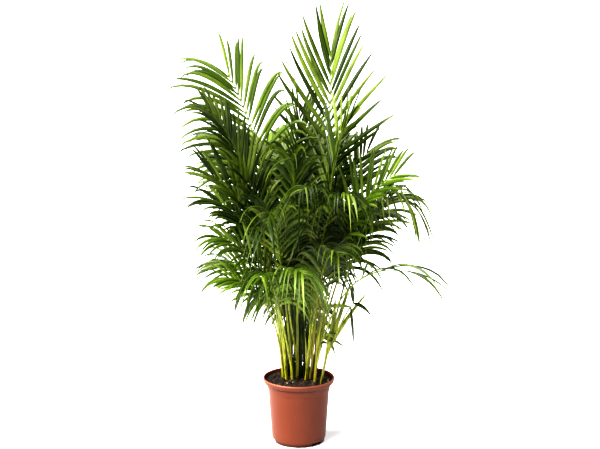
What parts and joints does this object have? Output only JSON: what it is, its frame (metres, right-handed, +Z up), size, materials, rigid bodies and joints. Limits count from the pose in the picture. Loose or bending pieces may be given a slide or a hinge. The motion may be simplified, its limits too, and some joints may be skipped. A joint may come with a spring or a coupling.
{
  "type": "potted palm",
  "caption": "Bushy feather palm: a clump of yellow-green canes with arching leaf fronds in a round tapered plastic nursery pot full of soil.",
  "frame": {"origin": "middle of the pot's flat underside, where it stands", "axes": "+Z up out of the pot, +X to the right in the front view, +Y to the back"},
  "size_m": [0.9547, 0.9552, 1.4476],
  "materials": {
    "pot": "satin terracotta-coloured moulded plastic",
    "soil": "dark crumbly potting soil",
    "cane": "smooth waxy yellow-green stem",
    "frond": "smooth waxy green leaf"
  },
  "bodies": {
    "root": {"cane_01": "cane", "cane_02": "cane", "cane_03": "cane", "cane_04": "cane", "cane_05": "cane", "cane_06": "cane", "cane_07": "cane", "cane_08": "cane", "cane_09": "cane", "cane_10": "cane", "cane_11": "cane", "cane_12": "cane", "cane_13": "cane", "cane_14": "cane", "cane_15": "cane", "cane_16": "cane", "frond_01": "frond", "frond_02": "frond", "frond_03": "frond", "frond_04": "frond", "frond_05": "frond", "frond_06": "frond", "frond_07": "frond", "frond_08": "frond", "frond_09": "frond", "frond_10": "frond", "frond_11": "frond", "frond_12": "frond", "frond_13": "frond", "frond_14": "frond", "frond_15": "frond", "frond_16": "frond", "frond_17": "frond", "frond_18": "frond", "frond_19": "frond", "frond_20": "frond", "frond_21": "frond", "frond_22": "frond", "frond_23": "frond", "frond_24": "frond", "frond_25": "frond", "frond_26": "frond", "frond_27": "frond", "frond_28": "frond", "frond_29": "frond", "frond_30": "frond", "frond_31": "frond", "frond_32": "frond", "frond_33": "frond", "frond_34": "frond", "frond_35": "frond", "frond_36": "frond", "frond_37": "frond", "frond_38": "frond", "frond_39": "frond", "frond_40": "frond", "frond_41": "frond", "pot": "pot", "soil": "soil"}
  },
  "joints": []
}
